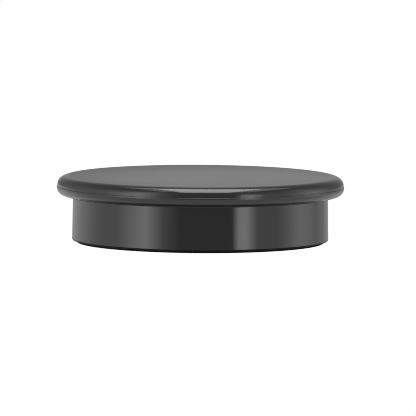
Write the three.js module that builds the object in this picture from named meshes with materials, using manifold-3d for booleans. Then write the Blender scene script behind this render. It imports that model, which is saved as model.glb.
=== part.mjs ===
// Counter-top security tag detacher: a flanged black puck that drops into an 80 mm cut-out in a till counter.
// A ring of magnets round a centre magnet, backed by a soft-iron disc, pulls the lock of a tag laid on the top face.
// The magnets sit in a cage on the floor of a cup, and a flanged cap closes the cup from above.
// Millimetres, +Z up, origin on the surface it stands on, at the centre of the rubber foot.

import * as THREE from "three";
import { mergeVertices } from "three/addons/utils/BufferGeometryUtils.js";
import Module from "manifold-3d";

const wasm = await Module();
wasm.setup();

// ---- Driving dimensions ----

const CUTOUT_R = 40; // the counter's cut-out, 80 mm across
const HEIGHT = 20.7; // standing surface to top face
const FLANGE_THICK = 6;
const FLANGE_R = 44.75;
const UNDERSIDE_Z = 0.7; // the cup's underside, above the surface that the foot stands on
const CONTACT = 0.1; // gap left where two pieces touch

// Flange rim: an elliptical round above and below a short upright land.
const RIM_ROUND_OUT = 3.5; // upper round, measured inwards
const RIM_ROUND_DOWN = 2.6; // upper round, measured downwards
const LIP_ROUND_OUT = 2.4; // lower round
const LIP_ROUND_UP = 2.5;

// Cap, under the rim.
const SKIN = 2.2; // top wall between tag and magnets
const SKIRT_R = 37.2; // plugs into the cup
const SKIRT_WALL = 3.0;
const SKIRT_DEPTH = 4.6; // below the flange's underside
const CHANNEL_ROOF = 2.5; // wall left above the ring channel that the cup's rim enters
const LIP_WALL = 2.8;

// Cup.
const CUP_R = CUTOUT_R - 0.3;
const CUP_WALL = 2.2;
const CUP_DRAFT = 0.18; // the cup is this much wider at its foot
const CUP_CORNER = 0.45;
const FLOOR = 2.3;

// Rubber pieces.
const FOOT_R = 38.4;
const FOOT_HOLE_R = 3.1;
const GASKET_PROUD = 0.3; // below the flange, to be squeezed against the counter
const SEAL_SECTION_R = 0.72;
const SEAL_DROP = 2.0; // seal's centre below the flange's underside

// Magnet stack.
const IRON_THICK = 3;
const MAGNET_HEIGHT = 11;
const RING_MAGNETS = 8;
const CAGE_R = 28;
const CAGE_RIM = 2.2;
const CENTRE_BORE_R = 12.8;
const HUB_WALL = 1.6;
const SPOKE_HALF = 0.7;
const MAGNET_FIT = 0.2; // bonding gap round each magnet
const FOAM_THICK = 1.1;

// Screws, inserts and the eight stations that they stand on, 45 degrees apart.
const SCREW_R = 1.5;
const SCREW_HEAD_R = 2.8;
const SCREW_HEAD_CONE = SCREW_HEAD_R - SCREW_R; // 90 degree countersink
const HOLE_CLEARANCE = 0.2;
const CASE_SCREW_LENGTH = 11.5;
const CAGE_SCREW_LENGTH = 8;
const DRIVE_R = 1.15; // six-lobe recess
const DRIVE_LOBE = 0.22;
const DRIVE_DEPTH = 1.1;
const CAP_BOSS_R = 3.4;
const CAP_BOSS_AT = 31.8;
const EAR_R = 3.6;
const EAR_AT = 31.6;
const EAR_THICK = 3.65;
const INSERT_R = 2.8;
const INSERT_LENGTH = 6.6;
const INSERT_THREAD_R = 1.65; // M4 before tapping
const INSERT_BOSS_R = 4.6;
const INSERT_BOSS_HEIGHT = 9.1; // above the cup's underside
const INSERT_AT = 33;

const CASE_SCREW_ANGLES = [45, 135, 225, 315];
const CAGE_SCREW_ANGLES = [0, 180];
const INSERT_ANGLES = [90, 270];

// Facets in a full turn.
const FINE_TURN = 64;
const TURN = 48;
const SMALL_TURN = 16;

// ---- Heights and radii that follow from them ----

const SEAT_Z = HEIGHT - FLANGE_THICK; // underside of the flange
const SKIN_Z = HEIGHT - SKIN;
const CHANNEL_Z = HEIGHT - CHANNEL_ROOF;
const SKIRT_Z = SEAT_Z - SKIRT_DEPTH;
const LIP_INNER_R = FLANGE_R - LIP_WALL;
const CUP_INNER_R = CUP_R - CUP_WALL;
const CUP_TOP_Z = CHANNEL_Z - 2 * CONTACT;
const FLOOR_Z = UNDERSIDE_Z + FLOOR;
const IRON_Z = FLOOR_Z + CONTACT;
const MAGNET_Z = IRON_Z + IRON_THICK + CONTACT;
const FOAM_Z = MAGNET_Z + MAGNET_HEIGHT + CONTACT;
const SCREW_HEAD_Z = UNDERSIDE_Z + CONTACT;
const SEAL_Z = SEAT_Z - SEAL_DROP;
const SEAL_R = CUP_INNER_R - SEAL_SECTION_R - CONTACT;
const GROOVE_R = SEAL_R - SEAL_SECTION_R - 2 * CONTACT;

// ---- Helpers ----

// Points along an arc or quarter ellipse in the (radius, height) plane, angles in degrees.
function arc(centreR, centreZ, acrossR, acrossZ, from, to, steps) {
  return Array.from({ length: steps + 1 }, (_, i) => {
    const t = THREE.MathUtils.degToRad(from + ((to - from) * i) / steps);
    return [centreR + acrossR * Math.cos(t), centreZ + acrossZ * Math.sin(t)];
  });
}

// A solid of revolution about Z. The outline runs anticlockwise, with radius to the right and height up.
function turned(outline, facets = TURN) {
  const points = outline.map(([r, z]) => new THREE.Vector2(r, z));
  return new THREE.LatheGeometry(points, facets).rotateX(Math.PI / 2);
}

// A ring of revolution, whose outline closes on itself.
function ring(outline, facets = TURN) {
  return turned([...outline, outline[0]], facets);
}

// A plain round bar from one height to another.
function bar(radius, fromZ, toZ, facets = SMALL_TURN) {
  return turned([[0, fromZ], [radius, fromZ], [radius, toZ], [0, toZ]], facets);
}

// A flat shape raised from one height to another.
function plate(shape, fromZ, toZ, curveSegments = 12) {
  const settings = { depth: toZ - fromZ, bevelEnabled: false, curveSegments };
  return new THREE.ExtrudeGeometry(shape, settings).translate(0, 0, fromZ);
}

// Moves a geometry out from the axis to a station at an angle in degrees.
function atStation(geometry, radius, degrees) {
  return geometry.translate(radius, 0, 0).rotateZ(THREE.MathUtils.degToRad(degrees));
}

// A closed three.js geometry as a solid that can be joined and cut.
function solid(geometry) {
  const bare = geometry.index ? geometry.toNonIndexed() : geometry.clone();
  bare.deleteAttribute("normal");
  bare.deleteAttribute("uv");
  const merged = mergeVertices(bare, 1e-4);
  const vertProperties = merged.getAttribute("position").array;
  const triVerts = new Uint32Array(merged.index.array);
  return new wasm.Manifold(new wasm.Mesh({ numProp: 3, vertProperties, triVerts }));
}

// A joined or cut solid as a three.js geometry again.
function geometryOf(cut) {
  const { vertProperties, triVerts } = cut.getMesh();
  const geometry = new THREE.BufferGeometry();
  geometry.setAttribute("position", new THREE.BufferAttribute(vertProperties, 3));
  geometry.setIndex(new THREE.BufferAttribute(triVerts, 1));
  geometry.computeVertexNormals();
  return geometry;
}

function joined(base, additions) {
  return additions.reduce((sum, g) => sum.add(solid(g)), base);
}

function drilled(base, tools) {
  return tools.reduce((rest, g) => rest.subtract(solid(g)), base);
}

// ---- Materials ----

const finish = (color, roughness, metalness = 0) =>
  new THREE.MeshStandardMaterial({ color, roughness, metalness });

const capPlastic = finish(0x1d1d1e, 0.42);
const cupPlastic = finish(0x161617, 0.14);
const blackRubber = finish(0x111111, 0.85);
const greyFoam = finish(0x3a3c3f, 0.95);
const nickel = finish(0xb9b8b2, 0.22, 1);
const zincedIron = finish(0x9aa0a3, 0.4, 1);
const nylon = finish(0xd9d5c8, 0.55);
const stainless = finish(0xa8a9a8, 0.3, 1);
const brass = finish(0xc19a48, 0.32, 1);

// ---- Casing ----

// Cap: skin, rounded flange rim, skirt with its seal groove, and four screw bosses.
function topCap() {
  const skirtInnerR = SKIRT_R - SKIRT_WALL;
  const locatorR = CAGE_R + 4 * CONTACT; // low ring that centres the cage
  const locatorWall = 1.2;
  const locatorZ = SKIN_Z - 2.1;
  const grooveHalf = SEAL_SECTION_R + 0.28;
  const skirtChamfer = 0.5;
  const rimStartR = FLANGE_R - RIM_ROUND_OUT;
  const shell = turned([
    [0, SKIN_Z],
    [locatorR, SKIN_Z],
    [locatorR, locatorZ],
    [locatorR + locatorWall, locatorZ],
    [locatorR + locatorWall, SKIN_Z],
    [skirtInnerR, SKIN_Z],
    [skirtInnerR, SKIRT_Z],
    [SKIRT_R - skirtChamfer, SKIRT_Z],
    [SKIRT_R, SKIRT_Z + skirtChamfer],
    [SKIRT_R, SEAL_Z - grooveHalf],
    [GROOVE_R, SEAL_Z - grooveHalf],
    [GROOVE_R, SEAL_Z + grooveHalf],
    [SKIRT_R, SEAL_Z + grooveHalf],
    [SKIRT_R, CHANNEL_Z],
    [LIP_INNER_R, CHANNEL_Z],
    [LIP_INNER_R, SEAT_Z],
    ...arc(FLANGE_R - LIP_ROUND_OUT, SEAT_Z + LIP_ROUND_UP, LIP_ROUND_OUT, LIP_ROUND_UP, -90, 0, 5),
    ...arc(rimStartR, HEIGHT - RIM_ROUND_DOWN, RIM_ROUND_OUT, RIM_ROUND_DOWN, 0, 90, 6),
    [0, HEIGHT],
  ], FINE_TURN);
  const bossFoot = FLOOR_Z + CONTACT;
  const bossTop = SKIN_Z + SKIN / 2;
  const pilotTop = SCREW_HEAD_Z + CASE_SCREW_LENGTH + 4 * CONTACT;
  const pilotR = SCREW_R + CONTACT;
  const bosses = CASE_SCREW_ANGLES.map((a) => atStation(bar(CAP_BOSS_R, bossFoot, bossTop), CAP_BOSS_AT, a));
  const pilots = CASE_SCREW_ANGLES.map((a) => atStation(bar(pilotR, bossFoot - 1, pilotTop), CAP_BOSS_AT, a));
  return geometryOf(drilled(joined(solid(shell), bosses), pilots));
}

// A countersunk through hole for a case or cage screw, cut upwards from the cup's underside.
function countersink() {
  const holeR = SCREW_R + HOLE_CLEARANCE;
  const mouthR = SCREW_HEAD_R + HOLE_CLEARANCE;
  return turned([
    [0, UNDERSIDE_Z - 1],
    [mouthR, UNDERSIDE_Z - 1],
    [mouthR, UNDERSIDE_Z],
    [holeR, UNDERSIDE_Z + mouthR - holeR],
    [holeR, FLOOR_Z + 1],
    [0, FLOOR_Z + 1],
  ], SMALL_TURN);
}

// Cup: drafted wall, rounded foot corner, screwed floor and two insert bosses.
function bodyCup() {
  const footR = CUP_R + CUP_DRAFT;
  const edge = 0.3; // chamfer on the upper rim
  const fillet = 1;
  const wall = turned([
    [0, UNDERSIDE_Z],
    ...arc(footR - CUP_CORNER, UNDERSIDE_Z + CUP_CORNER, CUP_CORNER, CUP_CORNER, -90, 0, 3),
    [CUP_R, SEAT_Z],
    [CUP_R, CUP_TOP_Z - edge],
    [CUP_R - edge, CUP_TOP_Z],
    [CUP_INNER_R + edge, CUP_TOP_Z],
    [CUP_INNER_R, CUP_TOP_Z - edge],
    ...arc(CUP_INNER_R - fillet, FLOOR_Z + fillet, fillet, fillet, 0, -90, 3),
    [0, FLOOR_Z],
  ], FINE_TURN);
  const bossTop = UNDERSIDE_Z + INSERT_BOSS_HEIGHT;
  const boreTop = UNDERSIDE_Z + INSERT_LENGTH + 10 * CONTACT;
  const bosses = INSERT_ANGLES.map((a) => atStation(bar(INSERT_BOSS_R, FLOOR_Z - 1, bossTop), INSERT_AT, a));
  const bores = INSERT_ANGLES.map((a) => atStation(bar(INSERT_R + CONTACT, UNDERSIDE_Z - 1, boreTop), INSERT_AT, a));
  const holes = [
    ...CASE_SCREW_ANGLES.map((a) => atStation(countersink(), CAP_BOSS_AT, a)),
    ...CAGE_SCREW_ANGLES.map((a) => atStation(countersink(), EAR_AT, a)),
  ];
  return geometryOf(drilled(joined(solid(wall), bosses), [...bores, ...holes]));
}

// ---- Rubber and foam ----

// Foot: a thin sheet bonded over the screws, with a hole under each insert.
function rubberFoot() {
  const top = UNDERSIDE_Z - CONTACT;
  const holes = INSERT_ANGLES.map((a) => atStation(bar(FOOT_HOLE_R, -1, top + 1), INSERT_AT, a));
  return geometryOf(drilled(solid(bar(FOOT_R, 0, top, FINE_TURN)), holes));
}

// Gasket: fills the ring channel between cup and flange lip, and stands a little below the flange.
function flangeGasket() {
  const innerR = CUP_R + 2.5 * CONTACT;
  const outerR = LIP_INNER_R - 2 * CONTACT;
  const bottom = SEAT_Z - GASKET_PROUD;
  const top = CHANNEL_Z - 2 * CONTACT;
  return ring([[innerR, bottom], [outerR, bottom], [outerR, top], [innerR, top]], FINE_TURN);
}

// Seal: an O-ring in the skirt's groove, against the cup's wall.
function capSeal() {
  return ring(arc(SEAL_R, SEAL_Z, SEAL_SECTION_R, SEAL_SECTION_R, 0, 315, 7));
}

function foamPad() {
  return bar(CAGE_R - 2 * CONTACT, FOAM_Z, FOAM_Z + FOAM_THICK, TURN);
}

// ---- Magnet stack ----

// The window between two spokes, or the magnet that fills it: an arc segment centred on +X whose straight sides
// run parallel to the spokes' centre lines, offset from them.
function sector(innerR, outerR, offset) {
  const sideAngle = (r) => Math.PI / RING_MAGNETS - Math.asin(offset / r);
  const shape = new THREE.Shape();
  shape.absarc(0, 0, outerR, -sideAngle(outerR), sideAngle(outerR), false);
  shape.absarc(0, 0, innerR, sideAngle(innerR), -sideAngle(innerR), true);
  shape.closePath();
  return shape;
}

const RING_INNER_R = CENTRE_BORE_R + HUB_WALL;
const RING_OUTER_R = CAGE_R - CAGE_RIM;
const ringAngle = (i) => (i * 360) / RING_MAGNETS;

function centreMagnet() {
  const r = CENTRE_BORE_R - MAGNET_FIT;
  const edge = 0.4;
  const top = MAGNET_Z + MAGNET_HEIGHT;
  return turned([
    [0, MAGNET_Z],
    [r - edge, MAGNET_Z],
    [r, MAGNET_Z + edge],
    [r, top - edge],
    [r - edge, top],
    [0, top],
  ]);
}

function ringMagnet(i) {
  const shape = sector(RING_INNER_R + MAGNET_FIT, RING_OUTER_R - MAGNET_FIT, SPOKE_HALF + MAGNET_FIT);
  const body = plate(shape, MAGNET_Z, MAGNET_Z + MAGNET_HEIGHT, 5);
  return body.rotateZ(THREE.MathUtils.degToRad(ringAngle(i)));
}

// Cage: a spoked ring with a window for each magnet and an ear for each cage screw.
function magnetCage() {
  const top = MAGNET_Z + MAGNET_HEIGHT;
  const disc = solid(bar(CAGE_R, MAGNET_Z, top, TURN));
  const ears = CAGE_SCREW_ANGLES.map((a) => ear(MAGNET_Z, MAGNET_Z + EAR_THICK, a));
  const window = sector(RING_INNER_R, RING_OUTER_R, SPOKE_HALF);
  const windows = Array.from({ length: RING_MAGNETS }, (_, i) =>
    plate(window, MAGNET_Z - 1, top + 1, 5).rotateZ(THREE.MathUtils.degToRad(ringAngle(i))));
  const bore = bar(CENTRE_BORE_R, MAGNET_Z - 1, top + 1, TURN);
  const threads = CAGE_SCREW_ANGLES.map((a) =>
    atStation(bar(SCREW_R + CONTACT, MAGNET_Z - 1, MAGNET_Z + EAR_THICK + 1), EAR_AT, a));
  return geometryOf(drilled(joined(disc, ears), [...windows, bore, ...threads]));
}

// A rounded lug that reaches from inside a disc's rim out to a cage screw.
function ear(fromZ, toZ, degrees) {
  const rootR = CAGE_R - CAGE_RIM / 2;
  const shape = new THREE.Shape();
  shape.moveTo(rootR, -EAR_R);
  shape.absarc(EAR_AT, 0, EAR_R, -Math.PI / 2, Math.PI / 2, false);
  shape.lineTo(rootR, EAR_R);
  shape.closePath();
  return plate(shape, fromZ, toZ, 6).rotateZ(THREE.MathUtils.degToRad(degrees));
}

// Back iron: the disc that closes the magnets' circuit, with the same two ears.
function backIron() {
  const top = IRON_Z + IRON_THICK;
  const disc = solid(bar(CAGE_R, IRON_Z, top, TURN));
  const ears = CAGE_SCREW_ANGLES.map((a) => ear(IRON_Z, top, a));
  const holes = CAGE_SCREW_ANGLES.map((a) =>
    atStation(bar(SCREW_R + HOLE_CLEARANCE, IRON_Z - 1, top + 1), EAR_AT, a));
  return geometryOf(drilled(joined(disc, ears), holes));
}

// ---- Fasteners ----

// A six-lobe socket shape.
function sixLobe() {
  const points = Array.from({ length: 24 }, (_, i) => {
    const t = (i * Math.PI) / 12;
    const r = DRIVE_R + DRIVE_LOBE * Math.cos(6 * t);
    return new THREE.Vector2(r * Math.cos(t), r * Math.sin(t));
  });
  return new THREE.Shape(points);
}

// Countersunk screw, head down, with a six-lobe socket in its head.
function screw(length) {
  const tip = 0.6;
  const top = SCREW_HEAD_Z + length;
  const blank = solid(turned([
    [0, SCREW_HEAD_Z],
    [SCREW_HEAD_R, SCREW_HEAD_Z],
    [SCREW_R, SCREW_HEAD_Z + SCREW_HEAD_CONE],
    [SCREW_R, top - tip],
    [SCREW_R - tip, top],
    [0, top],
  ], SMALL_TURN));
  return geometryOf(drilled(blank, [plate(sixLobe(), SCREW_HEAD_Z - 1, SCREW_HEAD_Z + DRIVE_DEPTH)]));
}

// Threaded insert: a bored brass bush with a waist between its two grip bands.
function insert() {
  const bottom = UNDERSIDE_Z + CONTACT;
  const top = UNDERSIDE_Z + INSERT_LENGTH;
  const waist = { r: INSERT_R - 0.5, from: bottom + 2.6, to: top - 2.6, slope: 0.4 };
  return ring([
    [INSERT_THREAD_R, bottom],
    [INSERT_R, bottom],
    [INSERT_R, waist.from],
    [waist.r, waist.from + waist.slope],
    [waist.r, waist.to - waist.slope],
    [INSERT_R, waist.to],
    [INSERT_R, top],
    [INSERT_THREAD_R, top],
  ], SMALL_TURN);
}

// ---- Assembly ----

const detacher = new THREE.Group();

function place(name, geometry, material, radius = 0, degrees = 0) {
  const mesh = new THREE.Mesh(geometry, material);
  const angle = THREE.MathUtils.degToRad(degrees);
  mesh.name = name;
  mesh.position.set(radius * Math.cos(angle), radius * Math.sin(angle), 0);
  mesh.rotation.z = angle;
  detacher.add(mesh);
}

place("top_cap", topCap(), capPlastic);
place("body_cup", bodyCup(), cupPlastic);
place("rubber_foot", rubberFoot(), blackRubber);
place("flange_gasket", flangeGasket(), blackRubber);
place("cap_seal", capSeal(), blackRubber);
place("foam_pad", foamPad(), greyFoam);
place("back_iron", backIron(), zincedIron);
place("magnet_cage", magnetCage(), nylon);
place("centre_magnet", centreMagnet(), nickel);
for (let i = 0; i < RING_MAGNETS; i++) {
  place(`ring_magnet_${i + 1}`, ringMagnet(i), nickel);
}
CASE_SCREW_ANGLES.forEach((angle, i) =>
  place(`case_screw_${i + 1}`, screw(CASE_SCREW_LENGTH), stainless, CAP_BOSS_AT, angle));
CAGE_SCREW_ANGLES.forEach((angle, i) =>
  place(`cage_screw_${i + 1}`, screw(CAGE_SCREW_LENGTH), stainless, EAR_AT, angle));
INSERT_ANGLES.forEach((angle, i) =>
  place(`mount_insert_${i + 1}`, insert(), brass, INSERT_AT, angle));

export default detacher;
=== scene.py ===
"""Looks of the counter-top tag detacher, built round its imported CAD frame. Blender 4.5, +Z up.

Shapes are written in millimetres and made in metres. Each piece replaces the CAD node of the same name.
"""

import math

import bmesh
import bpy
from mathutils import Matrix, Vector
from mathutils.geometry import tessellate_polygon


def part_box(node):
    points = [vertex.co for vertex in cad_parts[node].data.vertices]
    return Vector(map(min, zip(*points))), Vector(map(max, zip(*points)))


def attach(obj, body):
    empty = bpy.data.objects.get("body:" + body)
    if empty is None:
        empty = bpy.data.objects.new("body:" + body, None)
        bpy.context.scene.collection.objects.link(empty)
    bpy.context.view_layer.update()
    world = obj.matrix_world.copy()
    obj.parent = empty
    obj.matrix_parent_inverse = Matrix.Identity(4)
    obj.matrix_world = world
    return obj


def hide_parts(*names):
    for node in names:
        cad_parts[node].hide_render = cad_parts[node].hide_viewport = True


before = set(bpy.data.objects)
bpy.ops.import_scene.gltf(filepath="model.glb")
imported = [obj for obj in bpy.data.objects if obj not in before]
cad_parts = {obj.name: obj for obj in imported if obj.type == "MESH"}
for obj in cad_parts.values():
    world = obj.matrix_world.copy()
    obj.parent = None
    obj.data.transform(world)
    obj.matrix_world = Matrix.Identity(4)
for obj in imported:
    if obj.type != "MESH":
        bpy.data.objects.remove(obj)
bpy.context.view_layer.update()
scene = bpy.context.scene

MM = 0.001


# ---- Sizes read from the frame, in millimetres ----


def corners(node):
    """Lowest and highest corner of a CAD node."""
    low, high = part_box(node)
    return low / MM, high / MM


CAP_HIGH = corners("top_cap")[1]
CUP_LOW, CUP_HIGH = corners("body_cup")
FOOT_HIGH = corners("rubber_foot")[1]
GASKET_LOW, GASKET_HIGH = corners("flange_gasket")
SEAL_LOW, SEAL_HIGH = corners("cap_seal")
FOAM_LOW, FOAM_HIGH = corners("foam_pad")
IRON_LOW, IRON_HIGH = corners("back_iron")
CAGE_LOW, CAGE_HIGH = corners("magnet_cage")
MAGNET_LOW, MAGNET_HIGH = corners("centre_magnet")
INSERT_LOW, INSERT_HIGH = corners("mount_insert_1")

FLANGE_R = CAP_HIGH.x
HEIGHT = CAP_HIGH.z
UNDERSIDE = CUP_LOW.z
CAGE_R = CAGE_HIGH.y  # its ears lie on X

# ---- Sizes that the frame doesn't give ----

CONTACT = 0.1  # gap where two pieces touch

FLANGE_THICK = 6
SEAT = HEIGHT - FLANGE_THICK  # underside of the flange
RIM_ROUND = (3.5, 2.6)  # upper round of the flange's rim, across and down
LIP_ROUND = (2.4, 2.5)  # lower round
LIP_INNER_R = FLANGE_R - 2.8
SEAM_HEIGHT = 17.6  # mould seam round the rim: the lower half stands proud of the upper
SEAM_PROUD = 0.18
RIM_FINISH = (4.5, 3)  # distances in from the edge between which the satin turns into the rim's finish
TAG_SPOT = (8, -14)  # where tags are laid most, by a hand that reaches from the front
TAG_WEAR = (26, 54)  # distances from that spot over which the rubbed polish fades

SKIN = HEIGHT - 2.2  # underside of the cap's top wall
CHANNEL = HEIGHT - 2.5  # roof of the channel that the cup's rim enters
SKIRT_R = 37.2
SKIRT_INNER_R = 34.2
SKIRT_FOOT = SEAT - 4.6
GROOVE_R = 35.76
GROOVE_HALF = 1.0
GROOVE = (SEAL_LOW.z + SEAL_HIGH.z) / 2  # middle height of the seal and its groove
LOCATOR = (28.4, 29.6, 2.1)  # ring round the cage: inner radius, outer radius, drop

CUP_R = 39.7
CUP_INNER_R = 37.5
CUP_CORNER = 0.45
CUP_FLARE = {"top": 1.6, "out": 0.035}  # the wall's last stretch above the underside leans out a little
FLOOR_TOP = UNDERSIDE + 2.3

SCREW_R = 1.5
SCREW_HEAD_R = 2.8
SCREW_HOLE_R = 1.7
SCREW_MOUTH_R = 3.0
SOCKET_R = 1.15
SOCKET_LOBE = 0.22
SOCKET_DEPTH = 1.1
CAP_BOSS_R = 3.4
CAP_BOSS_FOOT = 3.1
PILOT_R = 1.6
PILOT_TOP = 12.7
INSERT_R = (INSERT_HIGH.x - INSERT_LOW.x) / 2
INSERT_THREAD_R = 1.65
INSERT_PITCH = 0.7
INSERT_BOSS_R = 4.6
INSERT_BOSS_TOP = UNDERSIDE + 9.1
INSERT_BORE_TOP = 8.3
FOOT_HOLE_R = 3.1

RING_MAGNETS = 8
CENTRE_BORE_R = 12.8
RING_INNER_R = 14.4
RING_OUTER_R = 25.8
SPOKE_HALF = 0.7
MAGNET_FIT = 0.2
EAR_R = 3.6
EAR_AT = 31.6
EAR_TOP = 9.85

FINE_TURN = 256  # facets in a full turn of what shows
TURN = 128
BOSS_TURN = 48
ROWS_PER_PITCH = 10  # rings of points in each turn of a thread


# ---- Mesh helpers ----


def arc(centre, reach, start, end, steps):
    """Points along a stretch of an ellipse, reach being its two half widths. Angles are in degrees."""
    points = []
    for i in range(steps + 1):
        t = math.radians(start + (end - start) * i / steps)
        points.append((centre[0] + reach[0] * math.cos(t), centre[1] + reach[1] * math.sin(t)))
    return points


def round_ring(radius, height, turn):
    """A circle of points, or one point on the axis."""
    if radius < 1e-6:
        return [(0, 0, height)]
    angles = [2 * math.pi * i / turn for i in range(turn)]
    return [(radius * math.cos(a), radius * math.sin(a), height) for a in angles]


def skin(rings, closed=False):
    """Vertices and faces of the surface through a list of rings, each of equal length or a single point."""
    vertices = []
    starts = []
    for ring in rings:
        starts.append(len(vertices))
        vertices.extend(ring)
    pairs = [(i, i + 1) for i in range(len(rings) - 1)]
    if closed:
        pairs.append((len(rings) - 1, 0))
    faces = []
    for a, b in pairs:
        count = max(len(rings[a]), len(rings[b]))
        for i in range(count):
            j = (i + 1) % count
            if len(rings[a]) == 1:
                faces.append((starts[a], starts[b] + j, starts[b] + i))
            elif len(rings[b]) == 1:
                faces.append((starts[a] + i, starts[a] + j, starts[b]))
            else:
                faces.append((starts[a] + i, starts[a] + j, starts[b] + j, starts[b] + i))
    return vertices, faces


def turned(outline, turn=TURN, closed=False):
    """A solid of revolution from (radius, height) points. A closed outline makes a ring."""
    return skin([round_ring(r, z, turn) for r, z in outline], closed)


def bar(radius, bottom, top):
    """A round bar on the axis."""
    return turned([(0, bottom), (radius, bottom), (radius, top), (0, top)], BOSS_TURN)


def moved(shape, x, y):
    vertices, faces = shape
    return [(v[0] + x, v[1] + y, v[2]) for v in vertices], faces


def spun(loop, degrees):
    """A flat loop turned about the axis."""
    cos = math.cos(math.radians(degrees))
    sin = math.sin(math.radians(degrees))
    return [Vector((p.x * cos - p.y * sin, p.x * sin + p.y * cos)) for p in loop]


def circle_loop(radius, centre=(0, 0), turn=BOSS_TURN):
    """A flat circle, anticlockwise."""
    points = round_ring(radius, 0, turn)
    return [Vector((centre[0] + p[0], centre[1] + p[1])) for p in points]


def inset(loop, distance):
    """A loop moved into the material on its left."""
    result = []
    for before, here, after in zip(loop[-1:] + loop[:-1], loop, loop[1:] + loop[:1]):
        along = (after - before).normalized()
        result.append(here + Vector((-along.y, along.x)) * distance)
    return result


def slab(outer, holes, bottom, top, edge):
    """A plate with rounded edges. All loops are given anticlockwise, and the holes are turned clockwise."""
    steps = 4
    loops = [outer] + [list(reversed(hole)) for hole in holes]
    angles = [math.pi / 2 * i / steps for i in range(steps + 1)]
    bend = [(edge * (1 - math.sin(a)), edge * (1 - math.cos(a))) for a in angles]
    levels = [(cut, bottom + rise) for cut, rise in bend]
    levels += [(cut, top - rise) for cut, rise in reversed(bend)]
    vertices = []
    faces = []
    ends = ([], [])
    for loop in loops:
        start = len(vertices)
        rings = [[(p.x, p.y, z) for p in inset(loop, cut)] for cut, z in levels]
        ring_vertices, ring_faces = skin(rings)
        vertices.extend(ring_vertices)
        faces.extend(tuple(start + i for i in face) for face in ring_faces)
        ends[0].append(range(start, start + len(loop)))
        ends[1].append(range(len(vertices) - len(loop), len(vertices)))
    for end in ends:
        indices = [i for loop in end for i in loop]
        flat = [[Vector(vertices[i]) for i in loop] for loop in end]
        faces.extend(tuple(indices[i] for i in face) for face in tessellate_polygon(flat))
    return vertices, faces


def mesh_of(name, *shapes):
    """A mesh in metres from shapes in millimetres, with its faces pointing out."""
    vertices = []
    faces = []
    for shape_vertices, shape_faces in shapes:
        start = len(vertices)
        vertices.extend(Vector(v) * MM for v in shape_vertices)
        faces.extend(tuple(start + i for i in face) for face in shape_faces)
    mesh = bpy.data.meshes.new(name)
    mesh.from_pydata(vertices, [], faces)
    bm = bmesh.new()
    bm.from_mesh(mesh)
    bmesh.ops.recalc_face_normals(bm, faces=bm.faces)
    bm.to_mesh(mesh)
    bm.free()
    return mesh


def combine(piece, operation, shapes):
    """Joins closed shapes to a piece, or cuts them from it."""
    tool = bpy.data.objects.new("tool", mesh_of("tool", *shapes))
    scene.collection.objects.link(tool)
    modifier = piece.modifiers.new("combine", "BOOLEAN")
    modifier.operation = operation
    modifier.solver = "EXACT"
    modifier.object = tool
    result = bpy.data.meshes.new_from_object(piece.evaluated_get(bpy.context.evaluated_depsgraph_get()))
    piece.modifiers.clear()
    piece.data = result
    bpy.data.objects.remove(tool)


def shade(mesh):
    """Smooth shading, with sharp edges where the surface turns by more than an angle."""
    sharp = math.radians(35)
    bm = bmesh.new()
    bm.from_mesh(mesh)
    bmesh.ops.remove_doubles(bm, verts=bm.verts, dist=1e-7)
    for face in bm.faces:
        face.smooth = True
    for edge in bm.edges:
        edge.smooth = edge.calc_face_angle(0) < sharp
    bm.to_mesh(mesh)
    bm.free()


def new_piece(node, *shapes):
    """An object that will stand for a CAD node."""
    name = node + "_detail"
    piece = bpy.data.objects.new(name, mesh_of(name, *shapes))
    scene.collection.objects.link(piece)
    return piece


def install(piece, node, material):
    """Gives a finished piece its shading, its material and its place in the frame."""
    shade(piece.data)
    piece.data.materials.clear()
    piece.data.materials.append(material)
    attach(piece, "root")
    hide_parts(node)


def station(node):
    """Where a small CAD node stands: the middle of its box, seen from above."""
    low, high = corners(node)
    return (low.x + high.x) / 2, (low.y + high.y) / 2


CASE_SCREWS = [f"case_screw_{i}" for i in range(1, 5)]
CAGE_SCREWS = [f"cage_screw_{i}" for i in range(1, 3)]
INSERTS = [f"mount_insert_{i}" for i in range(1, 3)]


# ---- Material helpers ----


def add(tree, kind, inputs=None, **settings):
    """A shader node, with its settings made and its inputs set or linked."""
    node = tree.nodes.new("ShaderNode" + kind)
    for key, value in settings.items():
        setattr(node, key, value)
    for key, value in (inputs or {}).items():
        if isinstance(value, bpy.types.NodeSocket):
            tree.links.new(value, node.inputs[key])
        else:
            node.inputs[key].default_value = value
    return node


def new_material(name, **settings):
    """A material, its node tree, its shader and the piece's own coordinates in metres.

    A setting is named as the shader's input is, with underscores for its spaces.
    """
    material = bpy.data.materials.new(name)
    material.use_nodes = True
    tree = material.node_tree
    shader = tree.nodes["Principled BSDF"]
    for key, value in settings.items():
        shader.inputs[key.replace("_", " ")].default_value = value
    place = add(tree, "TexCoord").outputs["Object"]
    return material, tree, shader, place


def grain(tree, place, size, detail=2.0, rough=0.5, stretch=(1, 1, 1)):
    """Noise whose cells are about size millimetres across, from 0 to 1."""
    scaled = add(tree, "Mapping", {"Vector": place, "Scale": stretch})
    inputs = {
        "Vector": scaled.outputs["Vector"],
        "Scale": 1 / (size * MM),
        "Detail": detail,
        "Roughness": rough,
    }
    return add(tree, "TexNoise", inputs).outputs["Fac"]


def spread(tree, value, low, high, source=(0.3, 0.7)):
    """A value taken from a source range onto low to high, and held at its ends."""
    inputs = {
        "Value": value,
        "From Min": source[0],
        "From Max": source[1],
        "To Min": low,
        "To Max": high,
    }
    return add(tree, "MapRange", inputs).outputs["Result"]


def maths(tree, operation, a, b=0.0):
    return add(tree, "Math", {0: a, 1: b}, operation=operation).outputs[0]


def blend(tree, factor, first, second):
    """One value where the factor is 0 and another where it is 1."""
    return add(tree, "Mix", {0: factor, 2: first, 3: second}).outputs[0]


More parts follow.
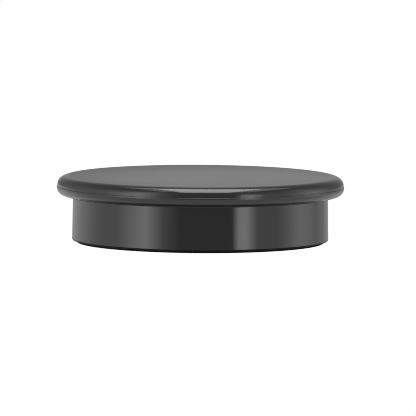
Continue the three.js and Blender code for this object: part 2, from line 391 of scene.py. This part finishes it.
def tint(tree, value, low, high):
    """A colour between two, by a value from 0 to 1."""
    inputs = {"Factor": value, 6: (*low, 1), 7: (*high, 1)}
    return add(tree, "Mix", inputs, data_type="RGBA").outputs[2]


def bump(tree, height, depth, under=None):
    """A bump of depth millimetres, over another if one is given."""
    inputs = {"Height": height, "Distance": depth * MM}
    if under is not None:
        inputs["Normal"] = under
    return add(tree, "Bump", inputs).outputs["Normal"]


def link(tree, output, shader, name):
    tree.links.new(output, shader.inputs[name])


def flat_distance(tree, place, centre=(0, 0)):
    """Distance seen from above from the axis or another centre, in millimetres."""
    flat = add(tree, "VectorMath", {0: place, 1: (1 / MM, 1 / MM, 0)}, operation="MULTIPLY")
    inputs = {0: flat.outputs["Vector"], 1: (*centre, 0)}
    return add(tree, "VectorMath", inputs, operation="DISTANCE").outputs["Value"]


# ---- Materials ----


def cap_plastic():
    """Black moulding with a fine satin, rubbed smoother where tags are laid and along the rim."""
    material, tree, shader, place = new_material("cap_plastic", IOR=1.5)
    cloud = grain(tree, place, 18, detail=3)
    fine = grain(tree, place, 0.16, detail=3, rough=0.6)
    pebble = grain(tree, place, 0.6, detail=2)
    wobble = grain(tree, place, 4, detail=2)
    scuff = grain(tree, place, 1.6, detail=4, rough=0.7, stretch=(1, 5, 1))
    worn = flat_distance(tree, place, TAG_SPOT)
    start, end = (FLANGE_R - inward for inward in RIM_FINISH)
    rim = spread(tree, flat_distance(tree, place), 0, 1, (start, end))
    polish = spread(tree, worn, 0.15, 0.24, TAG_WEAR)
    satin = maths(tree, "ADD", polish, spread(tree, cloud, -0.01, 0.01))
    scratched = spread(tree, scuff, 0, 0.05, (0.5, 0.7))
    edge = maths(tree, "ADD", spread(tree, cloud, 0.11, 0.13), scratched)
    link(tree, blend(tree, rim, satin, edge), shader, "Roughness")
    link(tree, tint(tree, cloud, (0.006,) * 3, (0.009,) * 3), shader, "Base Color")
    relief = bump(tree, pebble, 0.003, bump(tree, fine, 0.002))
    rim_relief = bump(tree, pebble, 0.012, bump(tree, wobble, 0.05, bump(tree, fine, 0.002)))
    inputs = {"Factor": rim, 4: relief, 5: rim_relief}
    link(tree, add(tree, "Mix", inputs, data_type="VECTOR").outputs[1], shader, "Normal")
    return material


def cup_plastic():
    """Black polished moulding, with the faint waviness of a moulded wall."""
    material, tree, shader, place = new_material("cup_plastic", IOR=1.5)
    cloud = grain(tree, place, 25, detail=2)
    fine = grain(tree, place, 0.3, detail=2)
    hair = grain(tree, place, 0.9, detail=4, rough=0.7, stretch=(1, 1, 7))
    hairlines = spread(tree, hair, 0, 0.03, (0.52, 0.7))
    link(tree, maths(tree, "ADD", spread(tree, cloud, 0.05, 0.08), hairlines), shader, "Roughness")
    link(tree, tint(tree, cloud, (0.005,) * 3, (0.007,) * 3), shader, "Base Color")
    link(tree, bump(tree, fine, 0.0004), shader, "Normal")
    return material


def rubber(name, darkest, lightest):
    """Black moulded rubber: matt, slightly dusty, with a fine pebble."""
    material, tree, shader, place = new_material(name, IOR=1.45, Specular_IOR_Level=0.25)
    cloud = grain(tree, place, 9, detail=4)
    pebble = grain(tree, place, 0.35, detail=3, rough=0.6)
    link(tree, spread(tree, cloud, 0.72, 0.9), shader, "Roughness")
    link(tree, tint(tree, cloud, (darkest,) * 3, (lightest,) * 3), shader, "Base Color")
    link(tree, bump(tree, pebble, 0.03), shader, "Normal")
    return material


def foam():
    """Dark grey closed-cell foam."""
    material, tree, shader, place = new_material("grey_foam", IOR=1.4)
    inputs = {"Vector": place, "Scale": 1 / (0.5 * MM)}
    cells = add(tree, "TexVoronoi", inputs).outputs["Distance"]
    cloud = grain(tree, place, 6, detail=3)
    shadow = spread(tree, cells, 0, 1, (0.1, 0.6))
    link(tree, tint(tree, shadow, (0.055, 0.057, 0.06), (0.03, 0.031, 0.033)), shader, "Base Color")
    link(tree, spread(tree, cloud, 0.85, 0.98), shader, "Roughness")
    link(tree, bump(tree, shadow, 0.12), shader, "Normal")
    return material


def plated(name, color, roughness, streak=(1, 1, 1), pits=0.004):
    """A plated or bright metal with soft patches, fine marks and slight pitting."""
    material, tree, shader, place = new_material(name, Metallic=1.0)
    cloud = grain(tree, place, 4, detail=4)
    marks = grain(tree, place, 0.4, detail=4, rough=0.7, stretch=streak)
    dull = tuple(c * 0.86 for c in color)
    link(tree, tint(tree, cloud, dull, color), shader, "Base Color")
    patches = spread(tree, cloud, roughness * 0.8, roughness * 1.2)
    link(tree, maths(tree, "ADD", patches, spread(tree, marks, 0, 0.08)), shader, "Roughness")
    link(tree, bump(tree, marks, pits), shader, "Normal")
    return material


def nylon():
    """Natural moulded nylon, slightly waxy and translucent."""
    settings = {"IOR": 1.53, "Subsurface_Weight": 0.15, "Subsurface_Scale": MM}
    material, tree, shader, place = new_material("natural_nylon", **settings)
    cloud = grain(tree, place, 7, detail=3)
    fine = grain(tree, place, 0.25, detail=3)
    link(tree, tint(tree, cloud, (0.66, 0.62, 0.52), (0.74, 0.71, 0.62)), shader, "Base Color")
    link(tree, spread(tree, cloud, 0.42, 0.56), shader, "Roughness")
    link(tree, bump(tree, fine, 0.008), shader, "Normal")
    return material


# ---- Casing ----


def top_cap(material):
    """Cap: flat top, rounded flange with its mould seam, skirt with the seal groove, four screw bosses."""
    upper_r = FLANGE_R - SEAM_PROUD
    rim_start = FLANGE_R - RIM_ROUND[0]
    chamfer = 0.5
    outline = [
        (0, SKIN),
        (LOCATOR[0], SKIN),
        (LOCATOR[0], SKIN - LOCATOR[2]),
        (LOCATOR[1], SKIN - LOCATOR[2]),
        (LOCATOR[1], SKIN),
        (SKIRT_INNER_R, SKIN),
        (SKIRT_INNER_R, SKIRT_FOOT),
        (SKIRT_R - chamfer, SKIRT_FOOT),
        (SKIRT_R, SKIRT_FOOT + chamfer),
        (SKIRT_R, GROOVE - GROOVE_HALF),
        (GROOVE_R, GROOVE - GROOVE_HALF),
        (GROOVE_R, GROOVE + GROOVE_HALF),
        (SKIRT_R, GROOVE + GROOVE_HALF),
        (SKIRT_R, CHANNEL),
        (LIP_INNER_R, CHANNEL),
        (LIP_INNER_R, SEAT),
        *arc((FLANGE_R - LIP_ROUND[0], SEAT + LIP_ROUND[1]), LIP_ROUND, -90, 0, 20),
        *arc((upper_r, SEAM_HEIGHT - SEAM_PROUD), (SEAM_PROUD,) * 2, 0, 80, 5),
        *arc((rim_start - SEAM_PROUD, HEIGHT - RIM_ROUND[1]), RIM_ROUND, 0, 90, 28),
        (rim_start / 2, HEIGHT),
        (0, HEIGHT),
    ]
    piece = new_piece("top_cap", turned(outline, FINE_TURN))
    places = [station(screw) for screw in CASE_SCREWS]
    boss_top = (SKIN + HEIGHT) / 2
    boss = bar(CAP_BOSS_R, CAP_BOSS_FOOT, boss_top)
    pilot = bar(PILOT_R, CAP_BOSS_FOOT - 1, PILOT_TOP)
    combine(piece, "UNION", [moved(boss, *p) for p in places])
    combine(piece, "DIFFERENCE", [moved(pilot, *p) for p in places])
    install(piece, "top_cap", material)


def countersink():
    """A screw's hole through the cup's floor, with its mouth below."""
    return turned([
        (0, UNDERSIDE - 1),
        (SCREW_MOUTH_R, UNDERSIDE - 1),
        (SCREW_MOUTH_R, UNDERSIDE),
        (SCREW_HOLE_R, UNDERSIDE + SCREW_MOUTH_R - SCREW_HOLE_R),
        (SCREW_HOLE_R, FLOOR_TOP + 1),
        (0, FLOOR_TOP + 1),
    ], BOSS_TURN)


def body_cup(material):
    """Cup: polished drafted wall, rounded foot corner, screwed floor and insert bosses."""
    foot_r = CUP_HIGH.x
    flare_r = foot_r + CUP_FLARE["out"]
    flare_foot = UNDERSIDE + CUP_CORNER
    flare_height = CUP_FLARE["top"] - CUP_CORNER
    steps = 6
    shares = [i / steps for i in range(1, steps + 1)]
    edge = 0.3
    fillet = 1.0
    outline = [
        (0, UNDERSIDE),
        *arc((flare_r - CUP_CORNER, flare_foot), (CUP_CORNER,) * 2, -90, 0, 16),
        *[(foot_r + CUP_FLARE["out"] * (1 - t) ** 2, flare_foot + flare_height * t) for t in shares],
        (CUP_R, SEAT),
        (CUP_R, CUP_HIGH.z - edge),
        (CUP_R - edge, CUP_HIGH.z),
        (CUP_INNER_R + edge, CUP_HIGH.z),
        (CUP_INNER_R, CUP_HIGH.z - edge),
        *arc((CUP_INNER_R - fillet, FLOOR_TOP + fillet), (fillet,) * 2, 0, -90, 8),
        (0, FLOOR_TOP),
    ]
    piece = new_piece("body_cup", turned(outline, FINE_TURN))
    places = [station(node) for node in INSERTS]
    boss = bar(INSERT_BOSS_R, FLOOR_TOP - 1, INSERT_BOSS_TOP)
    bore = bar(INSERT_R + CONTACT, UNDERSIDE - 1, INSERT_BORE_TOP)
    combine(piece, "UNION", [moved(boss, *p) for p in places])
    bores = [moved(bore, *p) for p in places]
    holes = [moved(countersink(), *station(node)) for node in CASE_SCREWS + CAGE_SCREWS]
    combine(piece, "DIFFERENCE", bores + holes)
    install(piece, "body_cup", material)


# ---- Rubber and foam ----


def rubber_foot(material):
    """Foot: a thin sheet over the screws, with a hole under each insert and shallow grip grooves below."""
    groove_depth = 0.12
    groove_half = 0.4
    radius = FOOT_HIGH.x
    soft = 0.08
    outline = [(0, 0)]
    for middle in range(12, 28, 3):
        outline.append((middle - groove_half, 0))
        outline.append((middle - groove_half / 2, groove_depth))
        outline.append((middle + groove_half / 2, groove_depth))
        outline.append((middle + groove_half, 0))
    outline.extend(arc((radius - soft, soft), (soft, soft), -90, 0, 4))
    outline.extend(arc((radius - soft, FOOT_HIGH.z - soft), (soft, soft), 0, 90, 4))
    outline.append((0, FOOT_HIGH.z))
    piece = new_piece("rubber_foot", turned(outline, FINE_TURN))
    holes = [moved(bar(FOOT_HOLE_R, -1, 1), *station(node)) for node in INSERTS]
    combine(piece, "DIFFERENCE", holes)
    install(piece, "rubber_foot", material)


def flange_gasket(material):
    """Gasket: a ring of rounded section between the cup and the flange's lip."""
    inner = CUP_R + 0.25
    outer = GASKET_HIGH.x
    low, high = GASKET_LOW.z, GASKET_HIGH.z
    r = 0.15
    outline = [
        *arc((inner + r, low + r), (r, r), 180, 270, 5),
        *arc((outer - r, low + r), (r, r), -90, 0, 5),
        *arc((outer - r, high - r), (r, r), 0, 90, 5),
        *arc((inner + r, high - r), (r, r), 90, 180, 5),
    ]
    piece = new_piece("flange_gasket", turned(outline, FINE_TURN, closed=True))
    install(piece, "flange_gasket", material)


def cap_seal(material):
    """O-ring of round section."""
    section = (SEAL_HIGH.z - SEAL_LOW.z) / 2
    outline = arc((SEAL_HIGH.x - section, GROOVE), (section, section), 0, 360, 24)[:-1]
    piece = new_piece("cap_seal", turned(outline, closed=True))
    install(piece, "cap_seal", material)


def foam_pad(material):
    """Foam: a die-cut disc whose cut edge pulls in at its middle."""
    radius, low, high = FOAM_HIGH.x, FOAM_LOW.z, FOAM_HIGH.z
    waist = 0.12
    steps = 8
    side = []
    for i in range(steps + 1):
        t = i / steps
        side.append((radius - waist * math.sin(math.pi * t), low + (high - low) * t))
    piece = new_piece("foam_pad", turned([(0, low), *side, (0, high)]))
    install(piece, "foam_pad", material)


# ---- Magnet stack ----


def sector_loop(inner_r, outer_r, offset):
    """The window between two spokes, or the magnet that fills it."""
    steps = 20

    def side(r):
        return math.pi / RING_MAGNETS - math.asin(offset / r)

    def sweep(r, start, end):
        angles = [start + (end - start) * i / steps for i in range(steps + 1)]
        return [Vector((r * math.cos(a), r * math.sin(a))) for a in angles]

    return sweep(outer_r, -side(outer_r), side(outer_r)) + sweep(inner_r, side(inner_r), -side(inner_r))


def centre_magnet(material):
    """Centre magnet: a disc with rounded edges."""
    radius, low, high = MAGNET_HIGH.x, MAGNET_LOW.z, MAGNET_HIGH.z
    edge = 0.4
    outline = [
        (0, low),
        *arc((radius - edge, low + edge), (edge, edge), -90, 0, 6),
        *arc((radius - edge, high - edge), (edge, edge), 0, 90, 6),
        (0, high),
    ]
    install(new_piece("centre_magnet", turned(outline)), "centre_magnet", material)


def ring_magnets(material):
    """Ring magnets: arc blocks, each a little smaller than its window in the cage."""
    edge = 0.3
    loop = sector_loop(RING_INNER_R + MAGNET_FIT, RING_OUTER_R - MAGNET_FIT, SPOKE_HALF + MAGNET_FIT)
    for i in range(RING_MAGNETS):
        node = f"ring_magnet_{i + 1}"
        body = slab(spun(loop, i * 360 / RING_MAGNETS), [], MAGNET_LOW.z, MAGNET_HIGH.z, edge)
        install(new_piece(node, body), node, material)


def eared_loop():
    """A disc's outline with a rounded ear on each side, anticlockwise."""
    ear_steps = 16
    disc_steps = 60
    root = math.asin(EAR_R / CAGE_R)
    points = []
    for side in (0, math.pi):
        for i in range(ear_steps + 1):
            a = -math.pi / 2 + math.pi * i / ear_steps
            lug = Vector((EAR_AT + EAR_R * math.cos(a), EAR_R * math.sin(a)))
            points.append(Matrix.Rotation(side, 2) @ lug)
        for i in range(disc_steps + 1):
            a = side + root + (math.pi - 2 * root) * i / disc_steps
            points.append(Vector((CAGE_R * math.cos(a), CAGE_R * math.sin(a))))
    return points


def magnet_cage(material):
    """Cage: a spoked ring with a window for each magnet, over a lower tier that carries the two ears."""
    window = sector_loop(RING_INNER_R, RING_OUTER_R, SPOKE_HALF)
    windows = [spun(window, i * 360 / RING_MAGNETS) for i in range(RING_MAGNETS)]
    bore = circle_loop(CENTRE_BORE_R, turn=TURN)
    lower_holes = [circle_loop(PILOT_R, station(node)) for node in CAGE_SCREWS]
    low, high = CAGE_LOW.z, CAGE_HIGH.z
    edge = 0.25
    overlap = low + 0.5  # where the upper tier starts, inside the lower one
    lower = slab(eared_loop(), [*windows, bore, *lower_holes], low, EAR_TOP, edge)
    upper = slab(circle_loop(CAGE_R, turn=TURN), [*windows, bore], overlap, high, edge)
    piece = new_piece("magnet_cage", lower)
    combine(piece, "UNION", [upper])
    install(piece, "magnet_cage", material)


def back_iron(material):
    """Back iron: a blanked plate, its edges rounded by the punch and by tumbling."""
    edge = 0.3
    holes = [circle_loop(SCREW_HOLE_R, station(node)) for node in CAGE_SCREWS]
    piece = new_piece("back_iron", slab(eared_loop(), holes, IRON_LOW.z, IRON_HIGH.z, edge))
    install(piece, "back_iron", material)


# ---- Fasteners ----


def lobed_ring(radius, lobe, height, turn):
    """A ring of points that swells and pinches six times."""
    lobes = 6
    points = []
    for i in range(turn):
        a = 2 * math.pi * i / turn
        r = radius + lobe * math.cos(lobes * a)
        points.append((r * math.cos(a), r * math.sin(a), height))
    return points


def thread_ring(core, crest, pitch, height, turn, share=1.0):
    """A ring of a screw thread at one height. share fades the ridge out at the thread's ends."""
    foot = 0.36  # half the ridge's width at its foot, in pitches
    peak = 1.25  # where the two flanks would meet, in thread depths: the crest cuts them off at 1
    points = []
    for i in range(turn):
        phase = (height / pitch - i / turn) % 1
        ridge = max(0.0, 1 - abs(phase - 0.5) / foot)
        r = core + (crest - core) * share * min(1.0, ridge * peak)
        a = 2 * math.pi * i / turn
        points.append((r * math.cos(a), r * math.sin(a), height))
    return points


def screw_shape(node, pitch, core):
    """Countersunk screw on the axis, head down, with a six-lobe socket."""
    turn = BOSS_TURN
    low, high = corners(node)
    base, tip = low.z, high.z
    cone = SCREW_HEAD_R - SCREW_R
    rings = [
        [(0, 0, base + SOCKET_DEPTH)],
        lobed_ring(SOCKET_R - 0.4, SOCKET_LOBE - 0.12, base + SOCKET_DEPTH, turn),
        lobed_ring(SOCKET_R - 0.02, SOCKET_LOBE, base + SOCKET_DEPTH - 0.1, turn),
        lobed_ring(SOCKET_R, SOCKET_LOBE, base + 0.08, turn),
        lobed_ring(SOCKET_R + 0.07, SOCKET_LOBE, base, turn),
        round_ring(2.1, base, turn),
        round_ring(SCREW_HEAD_R - 0.1, base, turn),
        round_ring(SCREW_HEAD_R - 0.02, base + 0.03, turn),
        round_ring(SCREW_HEAD_R - 0.1, base + 0.1, turn),
        round_ring(SCREW_R + 0.12, base + cone - 0.12, turn),
        round_ring(SCREW_R - 0.02, base + cone + 0.05, turn),
        round_ring(core, base + cone + 0.45, turn),
    ]
    first = base + cone + 0.6
    last = tip - 0.5
    fade = pitch * 0.6
    rows = math.ceil((last - first) / pitch * ROWS_PER_PITCH)
    for i in range(rows + 1):
        z = first + (last - first) * i / rows
        share = min(1.0, (z - first) / fade, (last - z) / fade)
        rings.append(thread_ring(core, SCREW_R, pitch, z, turn, share))
    rings.extend([
        round_ring(core - 0.05, tip - 0.3, turn),
        round_ring(core - 0.35, tip, turn),
        [(0, 0, tip)],
    ])
    return skin(rings)


def stand_at(piece, x, y, turn=0.0):
    """Turns a piece built on the axis and moves it to its station."""
    place = Matrix.Translation((x * MM, y * MM, 0))
    piece.data.transform(place @ Matrix.Rotation(turn, 4, "Z"))


def screws(material):
    """The case screws have a coarse thread for plastic, and the cage screws a finer one."""
    for nodes, pitch, core in ((CASE_SCREWS, 1.1, 1.08), (CAGE_SCREWS, 0.8, 1.15)):
        shape = screw_shape(nodes[0], pitch, core)
        for node in nodes:
            x, y = station(node)
            piece = new_piece(node, shape)
            stand_at(piece, x, y, math.atan2(y, x))
            install(piece, node, material)


def grip_rings(start, height, lean, turn):
    """A band of slanting grips round an insert."""
    grips = 24
    depth = 0.16
    steps = 10
    rings = []
    for step in range(steps + 1):
        z = start + height * step / steps
        points = []
        for i in range(turn):
            a = 2 * math.pi * i / turn
            r = INSERT_R - depth * (0.5 - 0.5 * math.cos(grips * a + lean * z))
            points.append((r * math.cos(a), r * math.sin(a), z))
        rings.append(points)
    return rings


def insert_shape(low, high):
    """Threaded insert on the axis: two bands of slanting grips with a waist between, round a thread."""
    turn = 144
    lean = 2.2
    margin = 0.15  # plain stretch at each end of a band
    mouth = 0.3  # height of each mouth of the thread
    thread_root_r = INSERT_THREAD_R + 0.36
    mouth_r = INSERT_THREAD_R + 0.5
    edge_r = INSERT_R - 0.2
    waist_r = INSERT_R - 0.5
    band = (high - low) * 0.4
    rings = [
        round_ring(mouth_r, low, turn),
        round_ring(edge_r, low, turn),
        *grip_rings(low + margin, band - 2 * margin, lean, turn),
        round_ring(waist_r, low + band + 0.2, turn),
        round_ring(waist_r, high - band - 0.2, turn),
        *grip_rings(high - band + margin, band - 2 * margin, -lean, turn),
        round_ring(edge_r, high, turn),
        round_ring(mouth_r, high, turn),
    ]
    threaded = high - low - 2 * mouth
    rows = math.ceil(threaded / INSERT_PITCH * ROWS_PER_PITCH)
    for i in range(rows + 1):
        z = high - mouth - threaded * i / rows
        rings.append(thread_ring(thread_root_r, INSERT_THREAD_R, INSERT_PITCH, z, turn))
    return skin(rings, closed=True)


def inserts(material):
    """Two equal inserts in the cup's floor."""
    for node in INSERTS:
        piece = new_piece(node, insert_shape(INSERT_LOW.z, INSERT_HIGH.z))
        stand_at(piece, *station(node))
        install(piece, node, material)


# ---- Camera ----


VIEW_ELEVATION = 5.0  # degrees
VIEW_ROLL = 0.35
VIEW_DISTANCE = 100 * FLANGE_R
VIEW_WIDTH = 2.895 * FLANGE_R  # what the frame takes in at the object
VIEW_AIM = (2.38, 0, 10.69)


def make_camera():
    """A long lens just above the table, almost level with the rim."""
    elevation = math.radians(VIEW_ELEVATION)
    roll = math.radians(VIEW_ROLL)
    distance = VIEW_DISTANCE * MM
    view_width = VIEW_WIDTH * MM
    aim = Vector(VIEW_AIM) * MM
    data = bpy.data.cameras.new("camera")
    data.sensor_width = 36
    data.lens = data.sensor_width * distance / view_width
    data.clip_start = 0.1
    data.clip_end = 40
    camera = bpy.data.objects.new("camera", data)
    back = Vector((0, -math.cos(elevation), math.sin(elevation)))
    turn = (-back).to_track_quat("-Z", "Y").to_matrix() @ Matrix.Rotation(roll, 3, "Z")
    camera.matrix_world = Matrix.Translation(aim + back * distance) @ turn.to_4x4()
    scene.collection.objects.link(camera)
    scene.camera = camera


# ---- Studio ----

# Soft cards round the object. azimuth is in degrees from the front, positive to the right: where the card
# begins, where it is full, where it starts to fade and where it ends. height is the elevation where it
# starts to fade upwards and where it ends.
CARDS = [
    {"azimuth": (-150, -50, -49, -18), "height": (20, 62), "light": 1.3},  # left window
    {"azimuth": (-80, -52, -50, -34), "height": (20, 62), "light": 1.5},  # its bright middle
    {"azimuth": (-178, -150, -125, -95), "height": (-4, 1), "light": 0.45},  # far table's lit edge, left
    {"azimuth": (110, 140, 155, 178), "height": (-4, 1), "light": 0.25},  # and right
    {"azimuth": (29, 35, 41, 53), "height": (-8, 38), "light": 2.9},  # strip light on the right
    {"azimuth": (30, 42, 105, 145), "height": (0, 60), "light": 0.65},  # right wall
    {"azimuth": (74, 97, 103, 128), "height": (10, 55), "light": 0.85},  # its bright middle
]
FRONT_LIGHT = 0.43
SIDE_LIGHT = 0.29
BACK_LIGHT = 0.38
SIDE_FADE = (60, 130)  # degrees of azimuth, either way, over which front turns to side
BACK_FADE = (166, 176)  # and side to back
TABLE_EDGE = (-12, -8)  # elevation: below this a reflection sees the white table
TABLE_LIGHT = 1.1
FAR_TABLE_EDGE = (-60, -5)  # the same behind the object, where the table is in shade
FAR_TABLE_FADE = (120, 165)

OVERHEADS = [
    {"name": "overhead_softbox", "place": (0.06, -0.1, 1.0), "size": (0.58, 1.04), "light": 4.1},
    {"name": "overhead_diffuser", "place": (0.08, 0.15, 1.02), "size": (1.0, 1.0), "light": 1.25},
]

FLOOR_WIDTH = 30  # metres

# A ring just above the table, next to the foot: its two radii, and how bright the table looks at each.
CONTACT_SHADE = {"radii": (38.5, 47), "light": (0.02, 0.5), "lift": 0.02}


def make_world():
    """A plain studio, seen in reflections: white table below, soft cards round it, and a dim back."""
    world = bpy.data.worlds.new("studio")
    world.use_nodes = True
    tree = world.node_tree
    ray = add(tree, "TexCoord").outputs["Generated"]
    split = add(tree, "SeparateXYZ", {"Vector": ray})
    towards = maths(tree, "MULTIPLY", split.outputs["Y"], -1.0)
    azimuth = maths(tree, "DEGREES", maths(tree, "ARCTAN2", split.outputs["X"], towards))
    elevation = maths(tree, "DEGREES", maths(tree, "ARCSINE", split.outputs["Z"]))

    def ramp(value, start, end, low=0.0, high=1.0):
        return spread(tree, value, low, high, (start, end))

    around = maths(tree, "ABSOLUTE", azimuth)
    base = blend(tree, ramp(around, *SIDE_FADE), FRONT_LIGHT, SIDE_LIGHT)
    base = blend(tree, ramp(around, *BACK_FADE), base, BACK_LIGHT)
    for card in CARDS:
        begin, full, fade, end = card["azimuth"]
        across = maths(tree, "MULTIPLY", ramp(azimuth, begin, full), ramp(azimuth, fade, end, 1.0, 0.0))
        upright = ramp(elevation, *card["height"], card["light"], 0.0)
        base = maths(tree, "ADD", base, maths(tree, "MULTIPLY", across, upright))
    near_table = blend(tree, ramp(elevation, *TABLE_EDGE), TABLE_LIGHT, base)
    far_table = blend(tree, ramp(elevation, *FAR_TABLE_EDGE), TABLE_LIGHT, base)
    light = blend(tree, ramp(around, *FAR_TABLE_FADE), near_table, far_table)
    background = tree.nodes["Background"]
    tree.links.new(light, background.inputs["Strength"])
    background.inputs["Color"].default_value = (1, 1, 1, 1)
    scene.world = world


def add_soft_box(name, place, size, light):
    """A rectangular light that faces straight down, of an even brightness, unseen by the camera."""
    data = bpy.data.lights.new(name, "AREA")
    data.shape = "RECTANGLE"
    data.size, data.size_y = size
    data.energy = light * math.pi * data.size * data.size_y
    box = bpy.data.objects.new(name, data)
    box.location = place
    box.visible_camera = False
    scene.collection.objects.link(box)


def emitter(name):
    """A material that only gives light, its node tree, its shader and the piece's own coordinates."""
    material, tree, _, place = new_material(name)
    glow = add(tree, "Emission", {"Strength": 1.0})
    link(tree, glow.outputs["Emission"], tree.nodes["Material Output"], "Surface")
    return material, tree, glow, place


def make_stage(name, mesh, material):
    """A part of the set, which neither lights the object nor shades it except in its reflections."""
    mesh.materials.append(material)
    stage = bpy.data.objects.new(name, mesh)
    scene.collection.objects.link(stage)
    stage.visible_diffuse = False
    stage.visible_shadow = False
    return stage


def make_floor():
    """A lit white table top, seen by the camera only: reflections see the world's table."""
    half = FLOOR_WIDTH / 2
    ends = [(-half, -half, 0), (half, -half, 0), (half, half, 0), (-half, half, 0)]
    mesh = bpy.data.meshes.new("floor")
    mesh.from_pydata(ends, [], [(0, 1, 2, 3)])
    material = emitter("white_floor")[0]
    make_stage("floor", mesh, material).visible_glossy = False


def make_contact_shade():
    """The shaded strip of table next to the foot, seen in reflections only."""
    rings = [round_ring(r, CONTACT_SHADE["lift"], FINE_TURN) for r in CONTACT_SHADE["radii"]]
    mesh = mesh_of("contact_shade", skin(rings))
    material, tree, glow, place = emitter("contact_shade")
    strength = spread(tree, flat_distance(tree, place), *CONTACT_SHADE["light"], CONTACT_SHADE["radii"])
    link(tree, strength, glow, "Strength")
    make_stage("contact_shade", mesh, material).visible_camera = False


def make_studio():
    """World, overhead soft boxes, lit table, and plain colour with crisp edges."""
    make_world()
    for box in OVERHEADS:
        add_soft_box(**box)
    make_floor()
    make_contact_shade()
    scene.view_settings.view_transform = "Standard"
    scene.cycles.filter_width = 1.0


# ---- Everything ----

make_camera()
make_studio()

# Two copies of one rubber. The foot's is made darker as painted shade, standing in for the shadowed gap
# under the cup. The gasket's is made lighter as painted light on the line under the flange.
black_rubber_painted_shade = rubber("black_rubber_painted_shade", 0.003, 0.006)
gasket_rubber_painted_light = rubber("gasket_rubber_painted_light", 0.02, 0.03)
nickel = plated("nickel_plate", (0.66, 0.64, 0.6), 0.16)
zinc = plated("zinc_plate", (0.58, 0.6, 0.63), 0.34, pits=0.012)
steel = plated("bright_stainless", (0.6, 0.6, 0.59), 0.24, streak=(1, 1, 4))
brass = plated("turned_brass", (0.78, 0.57, 0.25), 0.26, streak=(1, 1, 6))

top_cap(cap_plastic())
body_cup(cup_plastic())
rubber_foot(black_rubber_painted_shade)
flange_gasket(gasket_rubber_painted_light)
cap_seal(black_rubber_painted_shade)
foam_pad(foam())
centre_magnet(nickel)
ring_magnets(nickel)
magnet_cage(nylon())
back_iron(zinc)
screws(steel)
inserts(brass)
